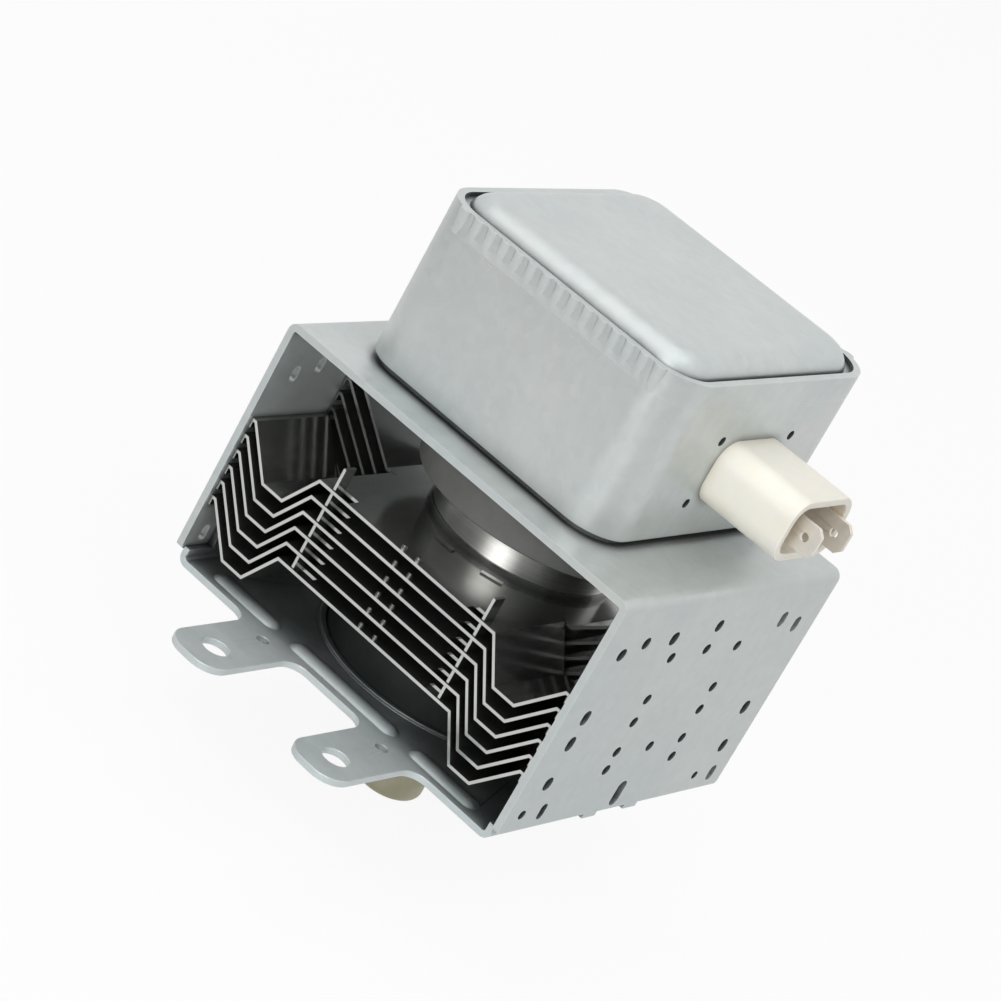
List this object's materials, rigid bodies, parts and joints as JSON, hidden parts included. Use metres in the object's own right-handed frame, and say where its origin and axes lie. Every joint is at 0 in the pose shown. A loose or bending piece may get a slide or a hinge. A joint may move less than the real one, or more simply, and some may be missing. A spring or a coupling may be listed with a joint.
{
  "type": "magnetron",
  "caption": "Microwave oven magnetron: folded steel yoke with zigzag cooling fins round the tube, mounting ears, a filter box with crimped lid and terminal socket, and an antenna below.",
  "frame": {"origin": "on the tube's axis in the mounting plane, which is the underside of the mounting plate", "axes": "+Z along the tube's axis from the antenna to the filter box, +X to the side of the terminal socket, Y along the air flow"},
  "size_m": [0.0965, 0.1226, 0.1172],
  "materials": {
    "zinc_steel": "satin zinc-coated sheet",
    "bare_steel": "plain drawn or machined steel",
    "tinned_metal": "tin-plated",
    "ferrite": "dull sintered ferrite",
    "copper": "plain copper, plated where it shows",
    "alumina": "dull white ceramic",
    "cap_metal": "dull drawn metal",
    "mesh": "knitted wire",
    "fin_aluminium": "thin rolled sheet",
    "socket_plastic": "satin moulded plastic",
    "resin": "cast resin"
  },
  "bodies": {
    "root": {"yoke_frame": "zinc_steel", "mounting_plate": "zinc_steel", "filter_case": "zinc_steel", "filter_lid": "zinc_steel", "upper_magnet": "ferrite", "lower_magnet": "ferrite", "ferrite_rod_a": "ferrite", "ferrite_rod_b": "ferrite", "anode_shell": "copper", "anode_vanes": "copper", "strap_rings": "copper", "antenna_lead": "copper", "exhaust_tube": "copper", "choke_coil_a": "copper", "choke_coil_b": "copper", "upper_pole_piece": "bare_steel", "lower_pole_piece": "bare_steel", "upper_seal_cup": "bare_steel", "lower_seal_cup": "bare_steel", "cathode_filament": "bare_steel", "cathode_center_lead": "bare_steel", "cathode_side_lead": "bare_steel", "stem_terminal_a": "bare_steel", "stem_terminal_b": "bare_steel", "gasket_retainer": "bare_steel", "terminal_tab_a": "tinned_metal", "terminal_tab_b": "tinned_metal", "capacitor_flange": "bare_steel", "stem_ceramic": "alumina", "antenna_ceramic": "alumina", "antenna_cap": "cap_metal", "rf_gasket": "mesh", "fin_1": "fin_aluminium", "fin_2": "fin_aluminium", "fin_3": "fin_aluminium", "fin_4": "fin_aluminium", "fin_5": "fin_aluminium", "fin_6": "fin_aluminium", "socket_housing": "socket_plastic", "capacitor_body": "resin"}
  },
  "joints": []
}
